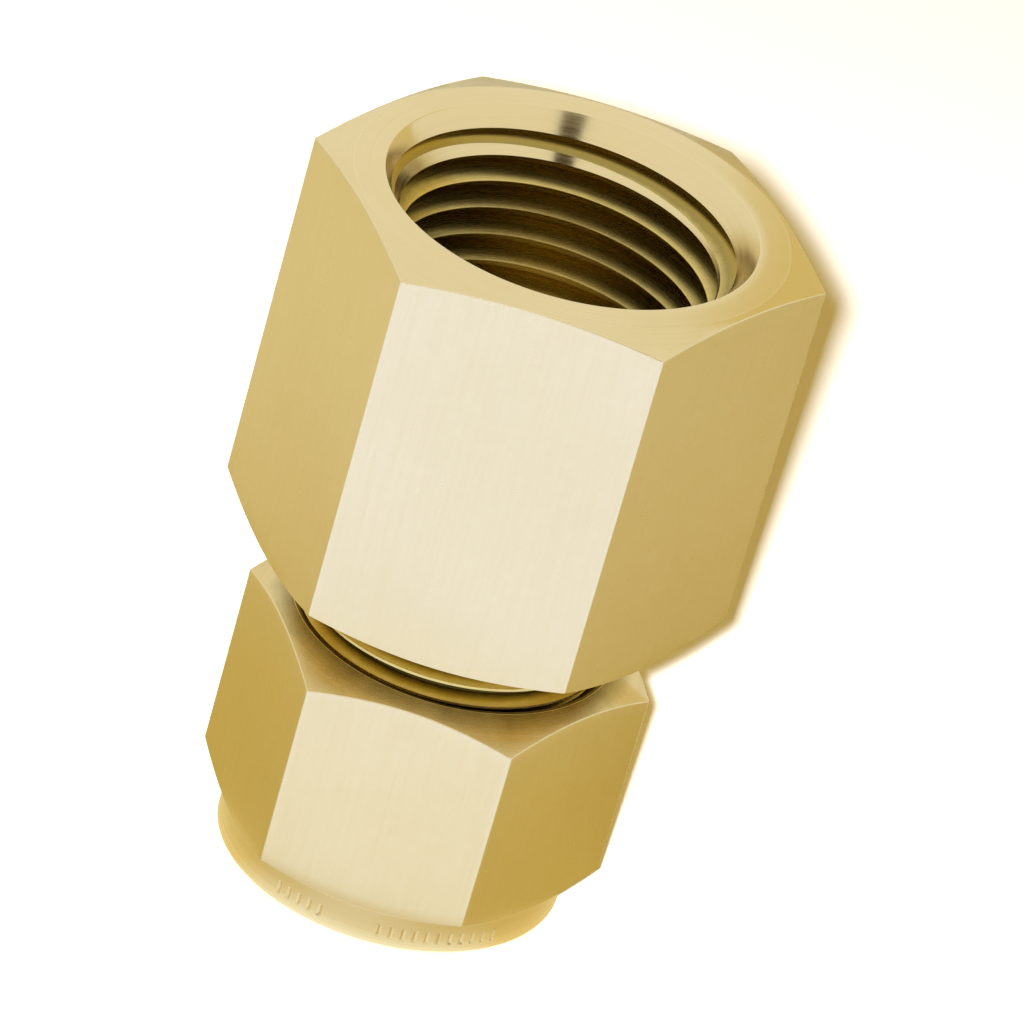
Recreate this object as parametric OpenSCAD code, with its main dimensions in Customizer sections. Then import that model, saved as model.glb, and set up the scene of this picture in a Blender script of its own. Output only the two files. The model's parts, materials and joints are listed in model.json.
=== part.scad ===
// Brass twin-ferrule compression fitting, a straight connector:
// a 12 mm tube enters from below through the nut, and a 1/2 inch tapered pipe screws in from above.
// The origin is on the tube's axis, at the nut's bottom face. +Z runs along the axis to the pipe end.

/* [Connector body] */
// Body hexagon, across its flats
body_hex_af = 27; // [26.5:0.5:30]
// Height of the whole fitting, with the nut finger-tight
fitting_h = 46.6; // [45.5:0.1:50]
// Height of the body hexagon's lower face
body_hex_bottom_z = 21.5; // [21:0.1:22]
// Radius of the flat ring on the body's lower face
body_bottom_face_r = 12.9; // [12:0.1:13.4]
// Slope of the body's lower chamfer
body_bottom_slope = 25; // [15:1:30]
// Radius of the flat ring on the body's top face
body_top_face_r = 13.1; // [12:0.1:13.4]
// Slope of the body's upper chamfer
body_top_slope = 17; // [15:1:30]

/* [Pipe end] */
// Radius of the pipe thread's tap-drilled wall
pipe_wall_r = 9.13; // [9:0.01:9.2]
// Depth of the tap-drilled hole from the top face
pipe_hole_depth = 19.5; // [18:0.1:19.5]
// Radius of the lead-in cone at the top face
pipe_lead_r = 11.25; // [10:0.05:11.5]
// Half angle of the lead-in cone
pipe_lead_angle = 30; // [25:1:45]
// Half angle of the tap drill's point
drill_point_angle = 59; // [59:1:70]

/* [Tube end] */
// Radius of the socket that the 12 mm tube slides into
tube_socket_r = 6.08; // [6.04:0.01:6.1]
// Depth that the tube goes in, measured from the nut's bottom face
tube_depth = 22.8; // [22:0.1:22.8]
// Radius of the flow passage
flow_r = 4.75; // [3:0.05:5]
// Height of the neck's lower end
neck_end_z = 9.8; // [9.7:0.1:10]
// Radius of the cone mouth at the neck's lower end
mouth_r = 7.6; // [7.5:0.05:7.7]
// Half angle of the cone mouth and of the front ferrule's cone
mouth_angle = 20; // [18:0.5:22]

/* [Nut thread] */
// Outer radius of the neck's 3/4-20 thread
thread_r = 9.525; // [9.4:0.005:9.6]
// Rise in one turn of the neck's thread
thread_pitch = 1.27; // [1.2:0.01:1.5]
// Radial clearance between the nut's thread and the neck's thread
thread_clearance = 0.14; // [0.1:0.01:0.2]

/* [Nut] */
// Nut hexagon, across its flats
nut_hex_af = 22; // [21.8:0.1:23]
// Height of the nut
nut_h = 17.3; // [17:0.1:18]
// Turn of the nut's hexagon against the body's, in degrees
nut_turn = -2.5; // [-30:0.5:30]
// Radius of the round collar under the nut's hexagon
collar_r = 10.75; // [10.6:0.05:10.9]
// Height of the collar
collar_h = 2.5; // [2:0.1:3]
// Slope of the hexagon's lower chamfer, above the collar
nut_bottom_slope = 30; // [20:1:35]
// Radius of the ring at the nut's top face
nut_top_face_r = 10; // [9.9:0.05:10.3]
// Slope of the hexagon's upper chamfer
nut_top_slope = 26; // [20:1:30]
// Height at which the back ferrule's seat starts
seat_z = 3.8; // [3.6:0.1:4]
// Radius of the pocket that holds the ferrules
pocket_r = 8.3; // [8.2:0.05:8.4]

/* [Ferrules] */
// Gap between facing cones, finger-tight
ferrule_gap = 0.08; // [0.06:0.01:0.12]
// Largest radius of the front ferrule
front_r = 8; // [7.9:0.05:8.05]
// Height of the front ferrule's lower face
front_bottom_z = 6.45; // [6.4:0.05:6.6]
// Height of the front ferrule's tip
front_tip_z = 13; // [12.5:0.1:13.3]
// Largest radius of the back ferrule
back_r = 7.75; // [7.6:0.05:7.8]
// Radius of the back ferrule's nose
back_nose_r = 7; // [6.9:0.05:7.1]

/* [Hidden] */

round_fn = 96;
thread_fn = 36;
body_colour = [0.80, 0.67, 0.36];
nut_colour = [0.76, 0.63, 0.32];
ferrule_colour = [0.84, 0.72, 0.42];

// The 60 degree thread form: flat crest and root, and flanks 30 degrees off the radial plane
thread_depth = 0.6134 * thread_pitch;
crest_flat = thread_pitch / 8;
thread_root_r = thread_r - thread_depth;
nut_thread_root_r = thread_r - 0.5413 * thread_pitch;
// A crest passes the front of the fitting this high
thread_phase_z = 18.57;
neck_chamfer_r = 8.55;

// The nut's inside, from the seat up
pocket_z = seat_z + pocket_r - tube_socket_r;
relief_r = 9.8;
relief_bottom_z = 6.8;
relief_top_z = 8.4;
nut_lead_r = 9.8;
nut_entry_chamfer = 0.4;
collar_round = 0.25;

pipe_hole_bottom_z = fitting_h - pipe_hole_depth;
pipe_point_h = (pipe_wall_r - flow_r) / tan(drill_point_angle);
pipe_lead_h = (pipe_lead_r - pipe_wall_r) / tan(pipe_lead_angle);
mouth_h = (mouth_r - tube_socket_r) / tan(mouth_angle);

// Ferrule outlines meet their seats at ferrule_gap, measured along the axis on 45 degree cones
back_bottom_z = seat_z + 0.5;
back_flange_top_z = 6.3;
back_nose_top_z = 6.6;
back_tip_r = 6.3;
front_cone_r = mouth_r - ferrule_gap;
front_shoulder_z = neck_end_z - (front_r - front_cone_r) / tan(mouth_angle);
front_tip_r = front_cone_r - (front_tip_z - neck_end_z) * tan(mouth_angle);
recess_mouth_r = back_nose_r + back_nose_top_z - front_bottom_z + ferrule_gap;

function hex_corner_r(across_flats) = across_flats / 2 / cos(30);

// A hexagonal bar between two heights, its corners at 0, 60, ... degrees
module hex_bar(across_flats, bottom_z, top_z) {
    translate([0, 0, bottom_z])
        cylinder(r = hex_corner_r(across_flats), h = top_z - bottom_z, $fn = 6);
}

// A turned shape from its outline of [radius, height] points
module turned(outline) {
    rotate_extrude($fn = round_fn)
        polygon(outline);
}

// A round hole or core between two heights
module bore(r, bottom_z, top_z) {
    translate([0, 0, bottom_z])
        cylinder(r = r, h = top_z - bottom_z, $fn = round_fn);
}

// A cone between two heights
module cone(bottom_r, top_r, bottom_z, top_z) {
    translate([0, 0, bottom_z])
        cylinder(r1 = bottom_r, r2 = top_r, h = top_z - bottom_z, $fn = round_fn);
}

// A right-hand threaded rod between two heights, of four helical lines a pitch.
// smallest and largest limit its radius at a height, for chamfers at its ends.
module threaded_rod(crest_r, root_r, bottom_z, top_z, smallest = function(z) 0, largest = function(z) 99) {
    rise = (crest_r - root_r) * tan(30);
    line_r = [crest_r, crest_r, root_r, root_r];
    line_z = [-crest_flat / 2, crest_flat / 2, crest_flat / 2 + rise, thread_pitch - crest_flat / 2 - rise];
    phase = thread_phase_z - 0.75 * thread_pitch;
    start_z = phase - thread_pitch * ceil((phase - bottom_z) / thread_pitch + 1.5);
    rows = 4 * ceil((top_z - start_z) / thread_pitch + 1.5);
    end_z = start_z + thread_pitch * rows / 4;
    points = [
        for (j = [0 : thread_fn - 1], i = [0 : rows - 1])
            let (
                z = start_z + thread_pitch * (j / thread_fn + floor(i / 4)) + line_z[i % 4],
                r = min(largest(z), max(smallest(z), line_r[i % 4]))
            )
            [r * cos(360 * j / thread_fn), r * sin(360 * j / thread_fn), z],
        [0, 0, start_z - thread_pitch],
        [0, 0, end_z + thread_pitch]
    ];
    bottom_centre = thread_fn * rows;
    top_centre = bottom_centre + 1;
    // The point after column j in row i: the last column runs on into the first, a pitch higher
    function at(j, i) = j < thread_fn ? j * rows + i : i + 4;
    faces = [
        for (j = [0 : thread_fn - 1], i = [0 : rows - 2 - (j == thread_fn - 1 ? 4 : 0)])
            [at(j, i), at(j, i + 1), at(j + 1, i + 1), at(j + 1, i)],
        for (j = [0 : thread_fn - 1]) [at(j, 0), at(j + 1, 0), bottom_centre],
        for (i = [4 : -1 : 1]) [i, i - 1, bottom_centre],
        for (j = [0 : thread_fn - 2]) [at(j + 1, rows - 1), at(j, rows - 1), top_centre],
        for (i = [rows - 1 : -1 : rows - 4])
            [at(thread_fn - 1, i - 1), at(thread_fn - 1, i), top_centre],
        [rows - 1, at(thread_fn - 1, rows - 5), top_centre]
    ];
    intersection() {
        polyhedron(points, faces);
        bore(crest_r + 2, bottom_z, top_z);
    }
}

module body_outside() {
    bottom_run = hex_corner_r(body_hex_af) - body_bottom_face_r;
    top_run = hex_corner_r(body_hex_af) - body_top_face_r;
    wide_r = hex_corner_r(body_hex_af);
    intersection() {
        hex_bar(body_hex_af, body_hex_bottom_z - 1, fitting_h + 1);
        turned([
            [0, body_hex_bottom_z],
            [body_bottom_face_r, body_hex_bottom_z],
            [wide_r + 0.5, body_hex_bottom_z + (bottom_run + 0.5) * tan(body_bottom_slope)],
            [wide_r + 0.5, fitting_h - (top_run + 0.5) * tan(body_top_slope)],
            [body_top_face_r, fitting_h],
            [0, fitting_h]
        ]);
    }
}

module neck() {
    threaded_rod(
        thread_r,
        thread_root_r,
        neck_end_z,
        body_hex_bottom_z + 1,
        largest = function(z) max(1, neck_chamfer_r + z - neck_end_z)
    );
}

module pipe_hole() {
    bore(pipe_wall_r, pipe_hole_bottom_z, fitting_h + 1);
    cone(flow_r, pipe_wall_r, pipe_hole_bottom_z - pipe_point_h, pipe_hole_bottom_z);
    cone(pipe_wall_r, pipe_lead_r, fitting_h - pipe_lead_h, fitting_h);
}

module tube_hole() {
    cone(mouth_r, tube_socket_r, neck_end_z, neck_end_z + mouth_h);
    bore(tube_socket_r, neck_end_z - 1, tube_depth);
}

module connector_body() {
    color(body_colour)
        difference() {
            union() {
                body_outside();
                neck();
            }
            pipe_hole();
            tube_hole();
            bore(flow_r, tube_depth - 1, pipe_hole_bottom_z);
        }
}

module nut_outside() {
    wide_r = hex_corner_r(nut_hex_af);
    intersection() {
        union() {
            rotate([0, 0, nut_turn])
                hex_bar(nut_hex_af, collar_h, nut_h + 1);
            bore(collar_r, 0, collar_h + 0.5);
        }
        turned([
            [0, 0],
            [collar_r - collar_round, 0],
            [collar_r, collar_round],
            [collar_r, collar_h],
            [wide_r + 0.5, collar_h + (wide_r + 0.5 - collar_r) * tan(nut_bottom_slope)],
            [wide_r + 0.5, nut_h - (wide_r + 0.5 - nut_top_face_r) * tan(nut_top_slope)],
            [nut_top_face_r, nut_h],
            [0, nut_h]
        ]);
    }
}

module nut_thread() {
    threaded_rod(
        (thread_r + thread_clearance) / cos(180 / thread_fn),
        nut_thread_root_r / cos(180 / thread_fn),
        (relief_bottom_z + relief_top_z) / 2,
        nut_h + 1,
        smallest = function(z) nut_lead_r - abs(nut_h - z)
    );
}

module tube_nut() {
    color(nut_colour)
        difference() {
            nut_outside();
            bore(tube_socket_r, -1, seat_z + 1);
            cone(tube_socket_r + nut_entry_chamfer, tube_socket_r, 0, nut_entry_chamfer);
            cone(tube_socket_r, pocket_r, seat_z, pocket_z);
            bore(pocket_r, pocket_z, relief_top_z);
            bore(relief_r, relief_bottom_z, relief_top_z);
            nut_thread();
        }
}

module front_ferrule() {
    color(ferrule_colour)
        turned([
            [recess_mouth_r, front_bottom_z],
            [front_r, front_bottom_z],
            [front_r, front_shoulder_z],
            [front_tip_r, front_tip_z],
            [tube_socket_r, front_tip_z],
            [tube_socket_r, front_bottom_z + recess_mouth_r - tube_socket_r]
        ]);
}

module back_ferrule() {
    seat_r_at_bottom = tube_socket_r + back_bottom_z - seat_z - ferrule_gap;
    color(ferrule_colour)
        turned([
            [tube_socket_r, back_bottom_z],
            [seat_r_at_bottom, back_bottom_z],
            [back_r, back_bottom_z + back_r - seat_r_at_bottom],
            [back_r, back_flange_top_z],
            [back_nose_r, back_flange_top_z],
            [back_nose_r, back_nose_top_z],
            [back_tip_r, back_nose_top_z + back_nose_r - back_tip_r],
            [tube_socket_r, back_nose_top_z + back_nose_r - back_tip_r]
        ]);
}

connector_body();
tube_nut();
front_ferrule();
back_ferrule();
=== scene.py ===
"""The looks of the compression fitting: four brass pieces, the floor, the lights and the camera."""

import json
import math
from dataclasses import dataclass

import bmesh
import bpy
from mathutils import Matrix, Vector


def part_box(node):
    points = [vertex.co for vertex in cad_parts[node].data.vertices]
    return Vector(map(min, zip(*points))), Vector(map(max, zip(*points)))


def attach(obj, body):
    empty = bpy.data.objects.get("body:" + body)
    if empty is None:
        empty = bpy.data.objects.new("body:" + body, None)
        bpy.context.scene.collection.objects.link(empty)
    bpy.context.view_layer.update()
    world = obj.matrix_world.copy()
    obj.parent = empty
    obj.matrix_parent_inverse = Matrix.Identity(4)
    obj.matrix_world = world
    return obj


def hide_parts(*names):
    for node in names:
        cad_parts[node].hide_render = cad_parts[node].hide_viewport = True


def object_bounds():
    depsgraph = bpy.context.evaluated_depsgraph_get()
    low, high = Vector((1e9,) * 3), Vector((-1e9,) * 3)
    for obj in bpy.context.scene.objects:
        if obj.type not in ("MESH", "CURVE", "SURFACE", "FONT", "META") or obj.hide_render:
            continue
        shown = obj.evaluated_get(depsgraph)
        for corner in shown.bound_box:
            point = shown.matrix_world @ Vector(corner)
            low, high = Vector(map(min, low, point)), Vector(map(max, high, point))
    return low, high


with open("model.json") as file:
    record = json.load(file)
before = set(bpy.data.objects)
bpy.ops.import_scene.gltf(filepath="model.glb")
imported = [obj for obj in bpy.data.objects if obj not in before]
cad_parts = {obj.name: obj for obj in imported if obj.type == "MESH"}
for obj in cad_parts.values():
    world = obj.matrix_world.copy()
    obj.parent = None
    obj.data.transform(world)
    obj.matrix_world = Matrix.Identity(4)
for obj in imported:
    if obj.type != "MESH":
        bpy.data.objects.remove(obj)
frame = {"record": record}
cad_low, cad_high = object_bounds()

# Lengths in this script are in millimetres, and meshes are scaled to metres as they are made.
MM = 0.001
INCH = 25.4
SIXTH_TURN = math.radians(60)
FULL_TURN = math.radians(360)
TAN_30 = math.tan(math.radians(30))

mounts = {mount["name"]: mount for mount in frame["record"]["mounts"]}
body_low, body_high = (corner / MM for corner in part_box("connector_body"))
nut_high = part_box("tube_nut")[1] / MM
front_low, front_high = (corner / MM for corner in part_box("front_ferrule"))
back_low, back_high = (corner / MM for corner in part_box("back_ferrule"))

# Connector body. A face's radius is where its chamfer starts.
TOP_Z = body_high.z
NECK_END_Z = body_low.z
BODY_AF = body_high.y - body_low.y
BODY_BOTTOM_Z = 21.5
BODY_BOTTOM_FACE_R = 12.9
BODY_BOTTOM_SLOPE = math.tan(math.radians(25))
BODY_TOP_FACE_R = 13.1
BODY_TOP_SLOPE = math.tan(math.radians(17))

# Pipe thread, which tapers by 1 in 16 on its diameter, and its lead-in cone
PIPE_WALL_R = mounts["pipe_thread"]["dims"]["r_mm"]
PIPE_HOLE_BOTTOM_Z = 27.1
PIPE_PITCH = INCH / 14
PIPE_THREAD_DEPTH = 0.72 * PIPE_PITCH
PIPE_CREST_R = 9.5
PIPE_TAPER = 1 / 32
PIPE_FLAT = 0.06
PIPE_PHASE_Z = TOP_Z - 1.27
PIPE_RUN_OUT = (4, 1)
LEAD_R = 11.25
LEAD_SLOPE = TAN_30
LEAD_END_Z = TOP_Z - 0.9
DRILL_POINT_SLOPE = math.tan(math.radians(59))

# Neck thread
THREAD_R = 9.525
THREAD_PITCH = INCH / 20
THREAD_DEPTH = 0.6134 * THREAD_PITCH
THREAD_FLAT = THREAD_PITCH / 8
THREAD_PHASE_Z = 18.57 - 0.75 * THREAD_PITCH
NECK_CHAMFER_R = 8.55
NECK_RUN_OUT = (1.2, 0.4)

# Tube end
TUBE_R = mounts["tube_socket"]["dims"]["r_mm"]
TUBE_STOP_Z = 22.8
FLOW_R = 4.75
MOUTH_R = 7.6
MOUTH_SLOPE = math.tan(math.radians(20))

# Nut
NUT_AF = 22
NUT_TURN = math.radians(-2.5)
NUT_TOP_Z = nut_high.z
COLLAR_R = 10.75
COLLAR_H = 2.5
NUT_BOTTOM_SLOPE = TAN_30
NUT_TOP_FACE_R = 10.0
NUT_TOP_SLOPE = math.tan(math.radians(26))
ENTRY_CHAMFER = 0.4
SEAT_Z = 3.8
POCKET_R = 8.3
RELIEF_R = 9.8
RELIEF_BOTTOM_Z = 6.8
RELIEF_TOP_Z = 8.4
NUT_LEAD_R = 9.8
NUT_THREAD_PLAY = 0.14
NUT_THREAD_CREST_R = THREAD_R - 0.5413 * THREAD_PITCH
NUT_THREAD_DEPTH = THREAD_R + NUT_THREAD_PLAY - NUT_THREAD_CREST_R
NUT_THREAD_FLAT = THREAD_PITCH - THREAD_FLAT - 2 * NUT_THREAD_DEPTH * TAN_30
NUT_RUN_OUT = (0.8, 0.2)

# Ferrules
FERRULE_GAP = 0.08
BACK_NOSE_R = 7.0
BACK_NOSE_TOP_Z = 6.6
BACK_FLANGE_TOP_Z = 6.3

# Stamped ticks on the nut's collar, which carry no lettering. The step is that of the nut's columns, so
# that each tick is one column wide.
NUT_COLUMN_STEP = math.radians(0.8)
TICK_SPACING = 4
TICK_ANGLES = [math.radians(-120 + TICK_SPACING * i) for i in range(5)]
TICK_ANGLES += [math.radians(-84 + TICK_SPACING * i) for i in range(11)]
TICK_DEPTH = 0.12
TICK_SLOPE_H = 0.12
TICK_LOW_Z = 0.8
TICK_HIGH_Z = 1.7

# Small radii that a real edge has
CORNER_ROUND = 0.18
SOFT_ROUND = 0.3
COLLAR_ROUND = 0.25
NECK_FILLET = 0.15
EDGE_ROUND = 0.1
FINE_ROUND = 0.05

# The columns of a sweep, and where a corner's round needs more of them, in degrees from the corner
COLUMN_STEP = math.radians(2)
CORNER_OFFSETS = (-1.0, -0.4, -0.24, -0.1, 0.0, 0.1, 0.24, 0.4, 1.0)

# Rows this far from an edge keep the shading of its round off the rest of the face
BODY_GUARD = 1
NUT_GUARD = 0.8
LEAD_GUARD = 0.6

# A round takes up at most this share of the sides beside it
ROUND_SHARE = 0.45
# Faces shorter than this belong to a rounded edge, which handling polishes
EDGE_STEP = 0.07
# Edges that bend more than this stay sharp
SHARP_ANGLE = math.radians(28)
# Thread rows closer than this to the thread's end are drawn on its end, and a few turns are made past it
END_MARGIN = 0.02
SPARE_TURNS = 3
WELD_DISTANCE = 0.002
TINY_EDGE = 0.0005

# Places in the body's and the nut's lists of materials, of which the last differs
FLAT, TURNED, EDGE, THREAD = range(4)
PIPE_THREAD = 4
NUT_TOP = 4
# How far down from the nut's top its turned faces have their own, darker material, with painted shade round
# the neck where the body above shades it
NUT_TOP_DEPTH = 1.5

# Brass, from bright to dark, the threads' colours, darkened by painted shade on their flanks and roots, and
# the painted shade round the neck on the nut's top
WORN_BRASS = (0.90, 0.81, 0.58)
BRASS = (0.87, 0.77, 0.53)
DEEP_BRASS = (0.82, 0.70, 0.42)
GOLD_BRASS = (0.78, 0.62, 0.28)
# The threads' crests, then the painted shade of their flanks and roots
CREST_BRASS = (0.80, 0.66, 0.28)
SHADED_THREAD_BRASS = (0.52, 0.38, 0.09)
DARK_SHADED_THREAD_BRASS = (0.38, 0.31, 0.11)
# Painted shade: its colour, how far out it reaches on the nut's top, how ragged its edge is and how strong it
# is
PAINTED_SHADE = (0.15, 0.11, 0.025)
PAINTED_SHADE_REACH = 1.5
PAINTED_SHADE_UNEVEN = 0.2
PAINTED_SHADE_STRENGTH = 0.85

# Patterns in the brass: how many features they have to a metre
DRAWN_LINES = (4500, 4500, 160)
PEBBLES = 1300
DRAWN_TONE = 90
TURNED_TONE = 120
TOOL_RINGS = 6000
# The ragged edge of the painted shade round the neck
PAINTED_SHADE_EDGE = 900
# The ragged edges of the threads' painted shade
THREAD_EDGE = 1500

# Polish: each finish's roughness, and the depth of its grain
DRAWN_FINISH = (0.3, 0.003)
BODY_FINISH = (0.2, 0.003)
COLLAR_FINISH = (0.26, 0.004)
NUT_TOP_FINISH = (0.26, 0.003)
EDGE_FINISH = (0.3, 0.001)
FERRULE_FINISH = (0.18, 0.002)
THREAD_FINISH = (0.26, 0.004)
# How much smoother the low grain is, and how much rougher the high grain
ROUGHNESS_SPREAD = (0.04, 0.05)
ANISOTROPY = 0.75

# Camera, aimed from the middle of the object. The lens and the distances are in millimetres.
CAMERA_AZIMUTH = math.radians(1.59)
CAMERA_ELEVATION = math.radians(30.6)
CAMERA_LEAN = math.radians(-16.19)
CAMERA_DISTANCE = 478.5
CAMERA_RIGHT = 2.0
CAMERA_UP = 1.37
CAMERA_LENS = 282
SENSOR_WIDTH = 36

FLOOR_SIZE = 2000
FLOOR_COLOUR = (0.92, 0.92, 0.91)
WORLD_COLOUR = (0.88, 0.82, 0.64)

# The board that the metal reflects: its glow at the object's foot, near it and far from it, in front and
# round the sides
BOARD_R = 400
BOARD_Z = 0.3
BOARD_SIDES = 24
FOOT_R = (10.8, 13.5)
FAR_R = (25, 70)
FRONT_GLOW = ((1.12, 1.1, 0.98), (0.96, 0.95, 0.90), (1.0, 1.04, 1.2))
SIDE_GLOW = ((0.95, 0.78, 0.38), (0.60, 0.45, 0.12), (0.78, 0.67, 0.37))
FRONT_EDGE_Y = (-16, -12)

# The board's front, and a shade on it behind the right side: an angle, the cosines off it between which it
# fades in, and the shade's share near the object and far from it
FRONT_ANGLE = math.radians(-90)
FRONT_SPREAD = (0.6, 0.9)
SHADE_GLOW = (0.45, 0.31, 0.05)
SHADE_ANGLE = math.radians(45)
SHADE_SPREAD = (0.72, 1.0)
SHADE_SHARES = (1.0, 0.6)

# A golden panel behind the right side, which the top face reflects
GOLD_PANEL = [(7, 62, 45), (70, 62, 45), (70, 62, 130), (12, 62, 130)]
GOLD_PANEL_GLOW = (0.72, 0.58, 0.24)

# A dark upright strip beside the camera, which shows as a streak in the countersink
STREAK_PLACE = Vector((95, -304, 200))
STREAK_WIDTH = 78
STREAK_HEIGHT = 260
STREAK_GLOW = (0.04, 0.02, 0.0)

# Each light's name, place, aim, size, power in watts and colour
LIGHTS = [
    ("key", (3, -410, 270), (0, 0, 20), (11, 11), 7.5, (0.97, 0.98, 1)),
    ("fill", (0, 150, 500), (0, 0, 20), (300, 300), 1.4, (1, 0.68, 0.17)),
]


def column_angles(step, extra=()):
    """The angles of a sweep round Z, from 0 to a full turn, evenly spaced apart from the extra ones."""
    margin = step / 20
    even = [i * step for i in range(round(FULL_TURN / step))]
    wrapped = [angle % FULL_TURN for angle in extra]
    kept = [angle for angle in even if all(abs(angle - other) > margin for other in wrapped)]
    inner = [angle for angle in kept + wrapped if margin < angle < FULL_TURN - margin]
    return [0.0] + sorted(inner) + [FULL_TURN]


def corner_angles(turn=0.0):
    """Where a rounded hexagon needs more columns: across each corner's round."""
    return [turn + i * SIXTH_TURN + math.radians(offset) for i in range(6) for offset in CORNER_OFFSETS]


def hexagon_radius(angle, across_flats, turn=0.0):
    """Distance from the axis to a hexagonal bar's surface, with its corners rounded."""
    from_corner = abs((angle - turn + SIXTH_TURN / 2) % SIXTH_TURN - SIXTH_TURN / 2)
    centre_r = (across_flats / 2 - CORNER_ROUND) / math.cos(SIXTH_TURN / 2)
    flat_r = across_flats / 2 / math.cos(SIXTH_TURN / 2 - from_corner)
    under = CORNER_ROUND**2 - (centre_r * math.sin(from_corner)) ** 2
    if under <= 0:
        return flat_r
    round_r = centre_r * math.cos(from_corner) + math.sqrt(under)
    return min(flat_r, round_r)


def rounded(corners, steps=3):
    """An outline of (r, z, fillet) corners with an arc in place of each corner that has a fillet."""
    points = []
    for i, (r, z, fillet) in enumerate(corners):
        here = Vector((r, z))
        if not fillet:
            points.append(here)
            continue
        before = Vector(corners[i - 1][:2]) - here
        after = Vector(corners[i + 1][:2]) - here
        half = before.angle(after) / 2
        reach = min(fillet / math.tan(half), before.length * ROUND_SHARE, after.length * ROUND_SHARE)
        centre = here + (before.normalized() + after.normalized()).normalized() * reach / math.cos(half)
        start = here + before.normalized() * reach - centre
        end = here + after.normalized() * reach - centre
        turn = start.angle_signed(end)
        for k in range(steps + 1):
            points.append(centre + Matrix.Rotation(-turn * k / steps, 2) @ start)
    return points


def sweep(mesh, angles, outline_at, material, edge_material=None):
    """Joins the outlines at successive angles into a strip of faces, which closes on itself.
    The short faces of rounded edges can have a material of their own."""
    before = None
    for angle in angles:
        column = [
            mesh.verts.new((r * math.cos(angle) * MM, r * math.sin(angle) * MM, z * MM))
            for r, z in outline_at(angle)
        ]
        if before:
            for a, b, c, d in zip(before, column, column[1:], before[1:]):
                face = mesh.faces.new((a, b, c, d))
                is_edge = edge_material is not None and (b.co - c.co).length < EDGE_STEP * MM
                face.material_index = edge_material if is_edge else material
                face.smooth = True
        before = column


@dataclass
class Thread:
    """A helical V thread on a wall. Radii are multiplied by side, which is 1 in a hole and -1 on a rod,
    so that the crest is always the smaller value and metal lies beyond it. The turned cone at the open end
    and the wall cut the crests off. The depth fades out between two heights at the other end."""

    side: int
    pitch: float
    crest_r: float
    depth: float
    flat: float
    phase_z: float
    cone_r: float
    cone_slope: float
    fade_from: float
    fade_to: float
    taper: float = 0.0
    wall_r: float = -math.inf

    def cone(self, z):
        return self.cone_r + self.cone_slope * z

    def fade(self, z):
        """How much of its depth the thread has at a height: 1, falling to 0 where it runs out."""
        share = (z - self.fade_to) / (self.fade_from - self.fade_to)
        return min(1.0, max(0.0, share))

    def uncut_crest(self, z):
        return self.side * self.crest_r + self.taper * z

    def crest(self, z):
        return max(self.wall_r, self.uncut_crest(z))

    def root(self, z):
        full = self.uncut_crest(z) + self.depth
        return self.crest(z) + (full - self.crest(z)) * self.fade(z)

    def land(self, crest_z):
        """Both edges of a crest: wider where the wall or the cone cuts it."""
        crest = self.crest(crest_z)
        lost = crest - self.uncut_crest(crest_z)
        half = self.flat / 2 + max(0.0, lost) * TAN_30
        low = crest_z - half
        high = crest_z + half
        steep = 1 / TAN_30
        if self.cone(low) > crest:
            low = (crest + low * steep - self.cone_r) / (steep + self.cone_slope)
        if self.cone(high) > crest:
            high = (self.cone_r - crest + high * steep) / (steep - self.cone_slope)
        return max(low, crest_z - self.pitch / 2), min(high, crest_z + self.pitch / 2)

    def outline(self, angle, bottom, top):
        """The outline at an angle, upwards between two (r, z) ends that it shares with its neighbours."""
        turns = math.ceil((top[1] - bottom[1]) / self.pitch) + SPARE_TURNS
        first = math.floor((bottom[1] - self.phase_z) / self.pitch) - 1
        half_root = self.pitch / 2 - self.flat / 2 - self.depth * TAN_30
        points = [bottom]
        for k in range(turns + 1):
            crest_z = self.phase_z + self.pitch * (first + k + angle / FULL_TURN)
            low, high = self.land(crest_z)
            next_low, _ = self.land(crest_z + self.pitch)
            middle = crest_z + self.pitch / 2
            root_low = max(high, middle - half_root)
            root_high = min(next_low, middle + half_root)
            row = [
                (low, self.crest(low)),
                (high, self.crest(high)),
                (root_low, self.root(root_low)),
                (root_high, self.root(root_high)),
            ]
            points += [(max(r, self.cone(z)) * self.side, z) for z, r in row]
        points.append(top)
        start = bottom[1] + END_MARGIN
        end = top[1] - END_MARGIN
        return [bottom if z < start else top if z > end else (r, z) for r, z in points]


def add_object(name, mesh, materials):
    """Makes an object of a finished bmesh, which it frees."""
    data = bpy.data.meshes.new(name)
    mesh.to_mesh(data)
    mesh.free()
    for material in materials:
        data.materials.append(material)
    thing = bpy.data.objects.new(name, data)
    bpy.context.scene.collection.objects.link(thing)
    return thing


def finish_mesh(mesh, name, body, node, materials):
    """Welds the strips into one closed mesh and makes it a piece that stands for its CAD node."""
    bmesh.ops.remove_doubles(mesh, verts=mesh.verts, dist=WELD_DISTANCE * MM)
    bmesh.ops.dissolve_degenerate(mesh, edges=mesh.edges, dist=TINY_EDGE * MM)
    bmesh.ops.recalc_face_normals(mesh, faces=mesh.faces)
    for edge in mesh.edges:
        edge.smooth = edge.calc_face_angle(0) < SHARP_ANGLE
    piece = add_object(name, mesh, materials)
    weighted = piece.modifiers.new("even_shading", "WEIGHTED_NORMAL")
    weighted.keep_sharp = True
    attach(piece, body)
    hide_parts(node)


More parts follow.
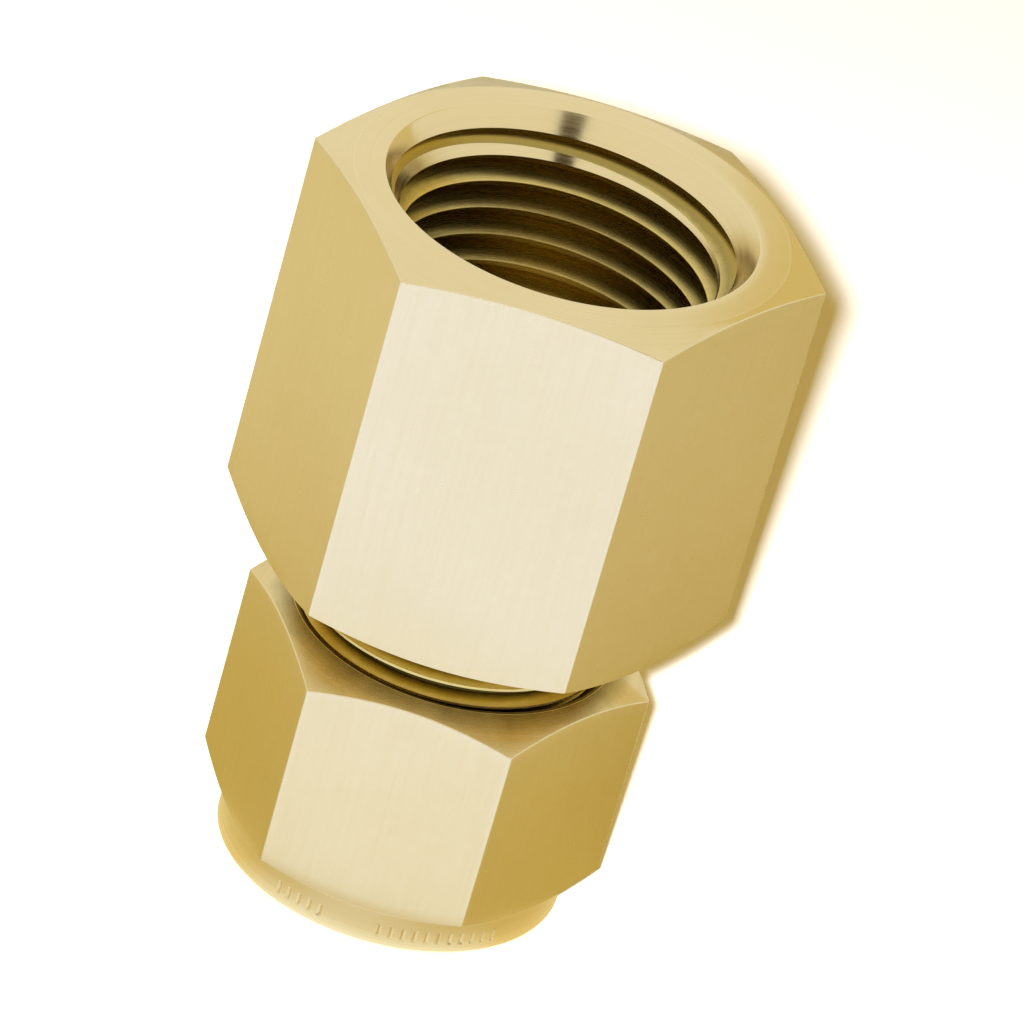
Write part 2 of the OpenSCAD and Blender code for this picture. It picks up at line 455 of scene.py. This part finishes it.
def mark_flats(mesh, across_flats, low_z, high_z):
    """Gives the drawn-bar material to the hexagon's flats, which no tool has turned, and the worn one to
    its corners."""
    upright = 0.15
    off_flat = 0.2
    corner_r = across_flats / 2 / math.cos(SIXTH_TURN / 2) - CORNER_ROUND / 2
    mesh.normal_update()
    for face in mesh.faces:
        centre = face.calc_center_median() / MM
        r = math.hypot(centre.x, centre.y)
        outside = r > across_flats / 2 - off_flat and low_z < centre.z < high_z
        if outside and abs(face.normal.z) < upright:
            face.material_index = EDGE if r > corner_r else FLAT


def mark_cone(mesh, thread):
    """Gives the turned material to what is left of the cone that cuts into a thread's open end."""
    off_cone = 0.02
    level = 0.95
    for face in mesh.faces:
        centre = face.calc_center_median() / MM
        off = thread.side * math.hypot(centre.x, centre.y) - thread.cone(centre.z)
        if abs(off) < off_cone and abs(face.normal.z) < level:
            face.material_index = TURNED


# The nut's top gets its own material, which holds the painted shade round the neck
def mark_nut_top(mesh):
    for face in mesh.faces:
        is_high = face.calc_center_median().z > (NUT_TOP_Z - NUT_TOP_DEPTH) * MM
        if is_high and face.material_index == TURNED:
            face.material_index = NUT_TOP


# Ends that the strips of the body share
NECK_START = (NECK_CHAMFER_R, NECK_END_Z)
NECK_TOP = (THREAD_R, BODY_BOTTOM_Z - 2 * NECK_FILLET)
WALL_END = (PIPE_WALL_R, PIPE_HOLE_BOTTOM_Z)
LEAD_END = (LEAD_R - (TOP_Z - LEAD_END_Z) * LEAD_SLOPE, LEAD_END_Z)


def body_outside(angle):
    """From the neck's thread round the hexagon to the lead-in cone."""
    r = hexagon_radius(angle, BODY_AF)
    low_z = BODY_BOTTOM_Z + (r - BODY_BOTTOM_FACE_R) * BODY_BOTTOM_SLOPE
    high_z = TOP_Z - (r - BODY_TOP_FACE_R) * BODY_TOP_SLOPE
    return rounded(
        [
            (*NECK_TOP, 0),
            (THREAD_R, BODY_BOTTOM_Z, NECK_FILLET),
            (BODY_BOTTOM_FACE_R, BODY_BOTTOM_Z, SOFT_ROUND),
            (r, low_z, EDGE_ROUND),
            (r, low_z + BODY_GUARD, 0),
            (r, high_z - BODY_GUARD, 0),
            (r, high_z, EDGE_ROUND),
            (BODY_TOP_FACE_R, TOP_Z, SOFT_ROUND),
            (LEAD_R + LEAD_GUARD, TOP_Z, 0),
            (LEAD_R, TOP_Z, EDGE_ROUND),
            (*LEAD_END, 0),
        ]
    )


def body_inside():
    """From the pipe thread's hole down through the flow passage and the tube's socket to the neck."""
    point_z = PIPE_HOLE_BOTTOM_Z - (PIPE_WALL_R - FLOW_R) / DRILL_POINT_SLOPE
    mouth_top_z = NECK_END_Z + (MOUTH_R - TUBE_R) / MOUTH_SLOPE
    return rounded(
        [
            (*WALL_END, 0),
            (FLOW_R, point_z, FINE_ROUND),
            (FLOW_R, TUBE_STOP_Z, FINE_ROUND),
            (TUBE_R, TUBE_STOP_Z, 0),
            (TUBE_R, mouth_top_z, SOFT_ROUND),
            (MOUTH_R, NECK_END_Z, 0.08),
            (*NECK_START, 0),
        ]
    )


def make_body(edge_brass):
    pipe = Thread(
        side=1,
        pitch=PIPE_PITCH,
        crest_r=PIPE_CREST_R - PIPE_TAPER * TOP_Z,
        depth=PIPE_THREAD_DEPTH,
        flat=PIPE_FLAT,
        phase_z=PIPE_PHASE_Z,
        cone_r=LEAD_R - LEAD_SLOPE * TOP_Z,
        cone_slope=LEAD_SLOPE,
        fade_from=PIPE_HOLE_BOTTOM_Z + PIPE_RUN_OUT[0],
        fade_to=PIPE_HOLE_BOTTOM_Z + PIPE_RUN_OUT[1],
        taper=PIPE_TAPER,
        wall_r=PIPE_WALL_R,
    )
    neck = Thread(
        side=-1,
        pitch=THREAD_PITCH,
        crest_r=THREAD_R,
        depth=THREAD_DEPTH,
        flat=THREAD_FLAT,
        phase_z=THREAD_PHASE_Z,
        cone_r=NECK_END_Z - NECK_CHAMFER_R,
        cone_slope=-1,
        fade_from=BODY_BOTTOM_Z - NECK_RUN_OUT[0],
        fade_to=BODY_BOTTOM_Z - NECK_RUN_OUT[1],
    )
    inside = body_inside()
    angles = column_angles(COLUMN_STEP, corner_angles())
    mesh = bmesh.new()
    sweep(mesh, angles, body_outside, TURNED, EDGE)
    sweep(mesh, angles, lambda angle: neck.outline(angle, NECK_START, NECK_TOP), THREAD)
    sweep(mesh, angles, lambda angle: pipe.outline(angle, WALL_END, LEAD_END), PIPE_THREAD)
    sweep(mesh, angles, lambda angle: inside, TURNED)
    mark_flats(mesh, BODY_AF, BODY_BOTTOM_Z, TOP_Z)
    mark_cone(mesh, pipe)
    materials = [
        drawn_brass(),
        turned_brass("turned_brass", BRASS, DEEP_BRASS, BODY_FINISH),
        edge_brass,
        # Painted shade darkens the threads' flanks and roots
        thread_brass("neck_thread_brass", neck, SHADED_THREAD_BRASS, PAINTED_SHADE),
        thread_brass("pipe_thread_brass", pipe, DARK_SHADED_THREAD_BRASS, SHADED_THREAD_BRASS),
    ]
    finish_mesh(mesh, "body_machined", "body", "connector_body", materials)


# Ends that the strips of the nut share
NUT_THREAD_START = (NUT_THREAD_CREST_R, RELIEF_TOP_Z)
NUT_THREAD_END = (NUT_LEAD_R, NUT_TOP_Z)
TUBE_ENTRY = (TUBE_R + ENTRY_CHAMFER, 0)


def tick_depth(angle):
    """How deep the stamped marks on the collar are at an angle: plain upright ticks in two groups."""
    for tick in TICK_ANGLES:
        off = abs((angle - tick + math.pi) % FULL_TURN - math.pi)
        if off < NUT_COLUMN_STEP / 2:
            return TICK_DEPTH
    return 0.0


def nut_outside(angle):
    """From the tube's entry round the collar and the hexagon to the nut's top."""
    r = hexagon_radius(angle, NUT_AF, NUT_TURN)
    low_z = COLLAR_H + (r - COLLAR_R) * NUT_BOTTOM_SLOPE
    high_z = NUT_TOP_Z - (r - NUT_TOP_FACE_R) * NUT_TOP_SLOPE
    marked_r = COLLAR_R - tick_depth(angle)
    return rounded(
        [
            (*TUBE_ENTRY, 0),
            (COLLAR_R - NUT_GUARD, 0, 0),
            (COLLAR_R, 0, COLLAR_ROUND),
            (COLLAR_R, TICK_LOW_Z, 0),
            (marked_r, TICK_LOW_Z + TICK_SLOPE_H, 0),
            (marked_r, TICK_HIGH_Z - TICK_SLOPE_H, 0),
            (COLLAR_R, TICK_HIGH_Z, 0),
            (COLLAR_R, COLLAR_H, FINE_ROUND),
            (r, low_z, EDGE_ROUND),
            (r, low_z + NUT_GUARD, 0),
            (r, high_z - NUT_GUARD, 0),
            (r, high_z, EDGE_ROUND),
            (NUT_TOP_FACE_R, NUT_TOP_Z, EDGE_ROUND),
            (*NUT_THREAD_END, 0),
        ]
    )


def nut_inside():
    """From the thread down through the relief groove, the ferrules' pocket and the seat to the entry."""
    return rounded(
        [
            (*NUT_THREAD_START, 0),
            (RELIEF_R, RELIEF_TOP_Z, EDGE_ROUND),
            (RELIEF_R, RELIEF_BOTTOM_Z, EDGE_ROUND),
            (POCKET_R, RELIEF_BOTTOM_Z, FINE_ROUND),
            (POCKET_R, SEAT_Z + POCKET_R - TUBE_R, EDGE_ROUND),
            (TUBE_R, SEAT_Z, FINE_ROUND),
            (TUBE_R, ENTRY_CHAMFER, 0),
            (*TUBE_ENTRY, 0),
        ]
    )


def make_nut(edge_brass):
    thread = Thread(
        side=1,
        pitch=THREAD_PITCH,
        crest_r=NUT_THREAD_CREST_R,
        depth=NUT_THREAD_DEPTH,
        flat=NUT_THREAD_FLAT,
        phase_z=THREAD_PHASE_Z + THREAD_PITCH / 2,
        cone_r=NUT_LEAD_R - NUT_TOP_Z,
        cone_slope=1,
        fade_from=RELIEF_TOP_Z + NUT_RUN_OUT[0],
        fade_to=RELIEF_TOP_Z + NUT_RUN_OUT[1],
    )
    inside = nut_inside()
    angles = column_angles(NUT_COLUMN_STEP, corner_angles(NUT_TURN))
    mesh = bmesh.new()
    sweep(mesh, angles, nut_outside, TURNED, EDGE)
    sweep(mesh, angles, lambda angle: thread.outline(angle, NUT_THREAD_START, NUT_THREAD_END), THREAD)
    sweep(mesh, angles, lambda angle: inside, TURNED)
    mark_flats(mesh, NUT_AF, COLLAR_H, NUT_TOP_Z)
    mark_cone(mesh, thread)
    mark_nut_top(mesh)
    materials = [
        drawn_brass(),
        turned_brass("nut_turned_brass", BRASS, GOLD_BRASS, COLLAR_FINISH),
        edge_brass,
        thread_brass("nut_thread_brass", thread, SHADED_THREAD_BRASS, PAINTED_SHADE),
        # Darker, with painted shade round the neck inside the nut's lead-in radius
        turned_brass("nut_top_brass", DEEP_BRASS, GOLD_BRASS, NUT_TOP_FINISH, NUT_LEAD_R),
    ]
    finish_mesh(mesh, "nut_machined", "nut", "tube_nut", materials)


def make_ring(corners, name, body, node, material):
    """A ferrule: a ring with the section that the corners give."""
    section = rounded(corners)
    mesh = bmesh.new()
    sweep(mesh, column_angles(COLUMN_STEP), lambda angle: section, 0)
    finish_mesh(mesh, name, body, node, [material])


def make_front_ferrule(material):
    """A cone that wedges into the body's mouth, with a 45 degree recess behind for the back ferrule."""
    outer_r = front_high.x
    shoulder_z = NECK_END_Z - (outer_r - MOUTH_R + FERRULE_GAP) / MOUTH_SLOPE
    tip_r = outer_r - (front_high.z - shoulder_z) * MOUTH_SLOPE
    recess_r = BACK_NOSE_R + BACK_NOSE_TOP_Z - front_low.z + FERRULE_GAP
    corners = [
        (TUBE_R, front_high.z - 1, 0),
        (TUBE_R, front_high.z, 0.05),
        (tip_r, front_high.z, 0.08),
        (outer_r, shoulder_z, SOFT_ROUND),
        (outer_r, front_low.z, 0.12),
        (recess_r, front_low.z, 0.08),
        (TUBE_R, front_low.z + recess_r - TUBE_R, 0.1),
        (TUBE_R, front_high.z - 1, 0),
    ]
    make_ring(corners, "front_ferrule_turned", "front_ring", "front_ferrule", material)


def make_back_ferrule(material):
    """A short ring with a 45 degree back that the nut pushes on, and a nose that goes under the front one."""
    outer_r = back_high.x
    seat_r = TUBE_R + back_low.z - SEAT_Z - FERRULE_GAP
    tip_r = BACK_NOSE_R - (back_high.z - BACK_NOSE_TOP_Z)
    corners = [
        (TUBE_R, back_high.z - 1, 0),
        (TUBE_R, back_high.z, 0.04),
        (tip_r, back_high.z, 0.06),
        (BACK_NOSE_R, BACK_NOSE_TOP_Z, 0.1),
        (BACK_NOSE_R, BACK_FLANGE_TOP_Z, 0.06),
        (outer_r, BACK_FLANGE_TOP_Z, 0.1),
        (outer_r, back_low.z + outer_r - seat_r, 0.15),
        (seat_r, back_low.z, 0.1),
        (TUBE_R, back_low.z, 0.06),
        (TUBE_R, back_high.z - 1, 0),
    ]
    make_ring(corners, "back_ferrule_turned", "back_ring", "back_ferrule", material)


def plug(tree, value, socket):
    """Links another node's socket to a socket, or sets it to a plain value."""
    if isinstance(value, bpy.types.NodeSocket):
        tree.links.new(value, socket)
    elif socket.type == "RGBA":
        socket.default_value = (*value, 1)
    else:
        socket.default_value = value


def add_node(tree, kind, *values, **named_values):
    """A shader node. The plain values go to its first inputs in turn, and the named ones to the inputs
    with those names."""
    node = tree.nodes.new(kind)
    for i, value in enumerate(values):
        plug(tree, value, node.inputs[i])
    for name, value in named_values.items():
        plug(tree, value, node.inputs[name])
    return node


def math_node(tree, operation, a, b):
    node = add_node(tree, "ShaderNodeMath", a, b)
    node.operation = operation
    return node.outputs[0]


def vector_node(tree, operation, *vectors):
    node = add_node(tree, "ShaderNodeVectorMath", *vectors)
    node.operation = operation
    return node


def scaled(tree, vector, x, y, z):
    return add_node(tree, "ShaderNodeMapping", Vector=vector, Scale=(x, y, z)).outputs[0]


def height_of(tree, place):
    return add_node(tree, "ShaderNodeSeparateXYZ", place).outputs["Z"]


def radius_from_axis(tree, place):
    return vector_node(tree, "LENGTH", scaled(tree, place, 1, 1, 0)).outputs["Value"]


def noise(tree, vector, scale, detail):
    return add_node(tree, "ShaderNodeTexNoise", Vector=vector, Scale=scale, Detail=detail).outputs[0]


def ramp(tree, value, low, high, low_to=0.0, high_to=1.0):
    """Goes from one value to another as its input goes from low to high, and stays there beyond them."""
    return add_node(tree, "ShaderNodeMapRange", value, low, high, low_to, high_to).outputs[0]


def mixed(tree, share, first, second):
    """A blend of two colours: the first at 0 and the second at 1."""
    node = tree.nodes.new("ShaderNodeMix")
    node.data_type = "RGBA"
    colours = [socket for socket in node.inputs if socket.type == "RGBA"]
    plug(tree, share, node.inputs[0])
    plug(tree, first, colours[0])
    plug(tree, second, colours[1])
    return next(socket for socket in node.outputs if socket.type == "RGBA")


def new_metal(name):
    """A metal with its nodes, its shader and the place on the object."""
    material = bpy.data.materials.new(name)
    material.use_nodes = True
    tree = material.node_tree
    shader = tree.nodes["Principled BSDF"]
    shader.inputs["Metallic"].default_value = 1
    return material, tree, shader, tree.nodes.new("ShaderNodeTexCoord").outputs["Object"]


def finish_metal(tree, shader, base, finish, grain):
    """Links a metal's colour, its roughness, which varies with the grain, and the grain's bump."""
    roughness, grain_depth = finish
    smoother, rougher = ROUGHNESS_SPREAD
    uneven = ramp(tree, grain, 0.3, 0.7, roughness - smoother, roughness + rougher)
    bump = add_node(tree, "ShaderNodeBump", Height=grain, Strength=1.0, Distance=grain_depth * MM)
    plug(tree, base, shader.inputs["Base Color"])
    plug(tree, uneven, shader.inputs["Roughness"])
    plug(tree, bump.outputs[0], shader.inputs["Normal"])


def drawn_brass():
    """The bar's flats: faint lines along the bar, a slightly pebbled skin and slow changes of tone."""
    material, tree, shader, place = new_metal("drawn_brass")
    lines = noise(tree, scaled(tree, place, *DRAWN_LINES), 1, detail=4)
    pebbles = noise(tree, place, PEBBLES, detail=3)
    tone = ramp(tree, noise(tree, place, DRAWN_TONE, detail=2), 0.35, 0.65, high_to=0.35)
    base = mixed(tree, tone, BRASS, DEEP_BRASS)
    base = mixed(tree, ramp(tree, lines, 0.45, 0.7, high_to=0.3), base, DEEP_BRASS)
    base = mixed(tree, ramp(tree, pebbles, 0.5, 0.72, high_to=0.25), base, WORN_BRASS)
    line_grain = math_node(tree, "MULTIPLY", lines, 0.6)
    pebble_grain = math_node(tree, "MULTIPLY", pebbles, 0.4)
    finish_metal(tree, shader, base, DRAWN_FINISH, math_node(tree, "ADD", line_grain, pebble_grain))
    return material


def rings(tree, place):
    """Fine rings round the axis, as a lathe tool leaves them."""
    section = add_node(
        tree, "ShaderNodeCombineXYZ", X=radius_from_axis(tree, place), Z=height_of(tree, place)
    )
    return noise(tree, section.outputs[0], TOOL_RINGS, detail=3)


def turned_brass(name, bright, deep, finish, painted_shade_r=None):
    """Faces from the lathe, whose tool rings smear reflections across themselves, so that streaks run out
    from the axis. Painted shade darkens them inside its radius, if there is one, and fades out beyond it."""
    material, tree, shader, place = new_metal(name)
    grain = rings(tree, place)
    tone = ramp(tree, noise(tree, place, TURNED_TONE, detail=3), 0.35, 0.65, high_to=0.4)
    base = mixed(tree, tone, bright, deep)
    base = mixed(tree, ramp(tree, grain, 0.5, 0.75, high_to=0.3), base, deep)
    # Painted shade: darker inside the radius, for the shade round the neck on the nut's top
    if painted_shade_r:
        edge = noise(tree, place, PAINTED_SHADE_EDGE, detail=3)
        ragged = ramp(tree, edge, 0.2, 0.8, -PAINTED_SHADE_UNEVEN * MM, PAINTED_SHADE_UNEVEN * MM)
        reach = math_node(tree, "ADD", radius_from_axis(tree, place), ragged)
        share = ramp(tree, reach, painted_shade_r * MM, (painted_shade_r + PAINTED_SHADE_REACH) * MM, PAINTED_SHADE_STRENGTH, 0)
        base = mixed(tree, share, base, PAINTED_SHADE)
    finish_metal(tree, shader, base, finish, grain)
    shader.inputs["Anisotropic"].default_value = ANISOTROPY
    shader.inputs["Anisotropic Rotation"].default_value = 0.25
    tangent = tree.nodes.new("ShaderNodeTangent")
    tangent.direction_type = "RADIAL"
    tangent.axis = "Z"
    plug(tree, tangent.outputs[0], shader.inputs["Tangent"])
    return material


def thread_brass(name, thread, flank_shade, root_shade):
    """Cut threads, coloured by depth: the crests' colour, then painted shade on the flanks, then painted
    shade in the roots.
    """
    material, tree, shader, place = new_metal(name)
    grain = rings(tree, place)
    # Painted shade: darker deeper into the thread, from the crests' colour to the flanks' and the roots'
    radius = math_node(tree, "MULTIPLY", radius_from_axis(tree, place), thread.side)
    tapered = math_node(tree, "MULTIPLY", height_of(tree, place), thread.taper)
    depth = math_node(tree, "SUBTRACT", radius, tapered)
    crest = thread.side * thread.crest_r * MM
    share = ramp(tree, depth, crest, crest + thread.depth * MM)
    ragged = ramp(tree, noise(tree, place, THREAD_EDGE, detail=4), 0.3, 0.7, -0.06, 0.06)
    share = math_node(tree, "ADD", share, ragged)
    base = mixed(tree, ramp(tree, share, 0.0, 0.45), CREST_BRASS, flank_shade)
    base = mixed(tree, ramp(tree, share, 0.45, 0.95), base, root_shade)
    finish_metal(tree, shader, base, THREAD_FINISH, grain)
    return material


def add_floor():
    material = bpy.data.materials.new("floor_paper")
    material.use_nodes = True
    shader = material.node_tree.nodes["Principled BSDF"]
    shader.inputs["Base Color"].default_value = (*FLOOR_COLOUR, 1)
    shader.inputs["Roughness"].default_value = 0.9
    shader.inputs["Specular IOR Level"].default_value = 0.1
    mesh = bmesh.new()
    bmesh.ops.create_grid(mesh, x_segments=8, y_segments=8, size=FLOOR_SIZE * MM)
    floor = add_object("floor", mesh, [material])


def direction_share(tree, place, angle, spread):
    """1 towards an angle round the axis and 0 away from it, between two cosines of the angle off it."""
    outwards = vector_node(tree, "NORMALIZE", scaled(tree, place, 1, 1, 0)).outputs[0]
    direction = (math.cos(angle), math.sin(angle), 0)
    return ramp(tree, vector_node(tree, "DOT_PRODUCT", outwards, direction).outputs["Value"], *spread)


def board_glow(tree):
    """The board's colour: the foot's inside, and beyond it the front's or the side's, which is shaded."""
    place = tree.nodes.new("ShaderNodeTexCoord").outputs["Object"]
    radius = radius_from_axis(tree, place)
    beyond_foot = ramp(tree, radius, *(r * MM for r in FOOT_R))
    far = ramp(tree, radius, *(r * MM for r in FAR_R))
    depth = add_node(tree, "ShaderNodeSeparateXYZ", place).outputs["Y"]
    ahead = ramp(tree, depth, *(y * MM for y in FRONT_EDGE_Y), 1, 0)
    foot_front = direction_share(tree, place, FRONT_ANGLE, FRONT_SPREAD)
    foot = mixed(tree, foot_front, SIDE_GLOW[0], FRONT_GLOW[0])
    front = mixed(tree, far, *FRONT_GLOW[1:])
    side = mixed(tree, far, *SIDE_GLOW[1:])
    shade = direction_share(tree, place, SHADE_ANGLE, SHADE_SPREAD)
    shade = math_node(tree, "MULTIPLY", shade, ramp(tree, far, 0, 1, *SHADE_SHARES))
    side = mixed(tree, shade, side, SHADE_GLOW)
    return mixed(tree, beyond_foot, foot, mixed(tree, ahead, side, front))


def add_panel(name, corners, glow_at):
    """A flat glowing panel that only the metal's reflections see."""
    material = bpy.data.materials.new(name)
    material.use_nodes = True
    tree = material.node_tree
    tree.nodes.clear()
    glow = add_node(tree, "ShaderNodeEmission", glow_at(tree))
    add_node(tree, "ShaderNodeOutputMaterial", glow.outputs[0])
    mesh = bmesh.new()
    mesh.faces.new([mesh.verts.new(Vector(corner) * MM) for corner in corners])
    panel = add_object(name, mesh, [material])
    panel.visible_camera = False
    panel.visible_diffuse = False
    panel.visible_shadow = False


def add_board():
    rim = [FULL_TURN * i / BOARD_SIDES for i in range(BOARD_SIDES)]
    corners = [(BOARD_R * math.cos(angle), BOARD_R * math.sin(angle), BOARD_Z) for angle in rim]
    add_panel("board", corners, board_glow)


def add_streak():
    across = STREAK_PLACE.cross((0, 0, 1)).normalized() * STREAK_WIDTH / 2
    up = across.cross(STREAK_PLACE).normalized() * STREAK_HEIGHT / 2
    offsets = (-across - up, across - up, across + up, up - across)
    add_panel("streak", [STREAK_PLACE + offset for offset in offsets], lambda tree: STREAK_GLOW)


def add_light(name, place, aim, size, power, colour):
    """A soft rectangular light that faces a point. It lights the floor, as the metal reflects the panels."""
    data = bpy.data.lights.new(name, "AREA")
    data.shape = "RECTANGLE"
    data.size = size[0] * MM
    data.size_y = size[1] * MM
    data.energy = power
    data.color = colour
    light = bpy.data.objects.new(name, data)
    bpy.context.scene.collection.objects.link(light)
    light.location = Vector(place) * MM
    light.rotation_mode = "QUATERNION"
    light.rotation_quaternion = (Vector(aim) - Vector(place)).to_track_quat("-Z", "Y")
    light.visible_camera = False
    light.visible_glossy = False


def add_world():
    world = bpy.data.worlds.new("studio")
    world.use_nodes = True
    background = world.node_tree.nodes["Background"]
    background.inputs["Color"].default_value = (*WORLD_COLOUR, 1)
    bpy.context.scene.world = world
    world.cycles_visibility.diffuse = False


def add_camera():
    """The camera looks down from in front, and leans so that the object's top tips to the right."""
    level = Vector((-math.sin(CAMERA_AZIMUTH), math.cos(CAMERA_AZIMUTH), 0))
    forward = level * math.cos(CAMERA_ELEVATION) - Vector((0, 0, math.sin(CAMERA_ELEVATION)))
    lean = Matrix.Rotation(CAMERA_LEAN, 3, forward)
    right = lean @ level.cross((0, 0, 1))
    up = right.cross(forward)
    centre = (cad_low + cad_high) / 2 / MM
    place = centre - forward * CAMERA_DISTANCE + right * CAMERA_RIGHT + up * CAMERA_UP
    axes = Matrix((right, up, -forward)).transposed().to_4x4()
    data = bpy.data.cameras.new("camera")
    data.lens = CAMERA_LENS
    data.sensor_width = SENSOR_WIDTH
    camera = bpy.data.objects.new("camera", data)
    bpy.context.scene.collection.objects.link(camera)
    camera.matrix_world = Matrix.Translation(place * MM) @ axes
    bpy.context.scene.camera = camera


add_camera()
add_floor()
add_world()
add_board()
add_panel("gold_panel", GOLD_PANEL, lambda tree: GOLD_PANEL_GLOW)
add_streak()
for light in LIGHTS:
    add_light(*light)
bpy.context.scene.view_settings.view_transform = "Standard"

edge_brass = turned_brass("worn_edge_brass", WORN_BRASS, BRASS, EDGE_FINISH)
make_body(edge_brass)
make_nut(edge_brass)
ferrule_brass = turned_brass("ferrule_brass", WORN_BRASS, BRASS, FERRULE_FINISH)
make_front_ferrule(ferrule_brass)
make_back_ferrule(ferrule_brass)

bpy.context.view_layer.update()
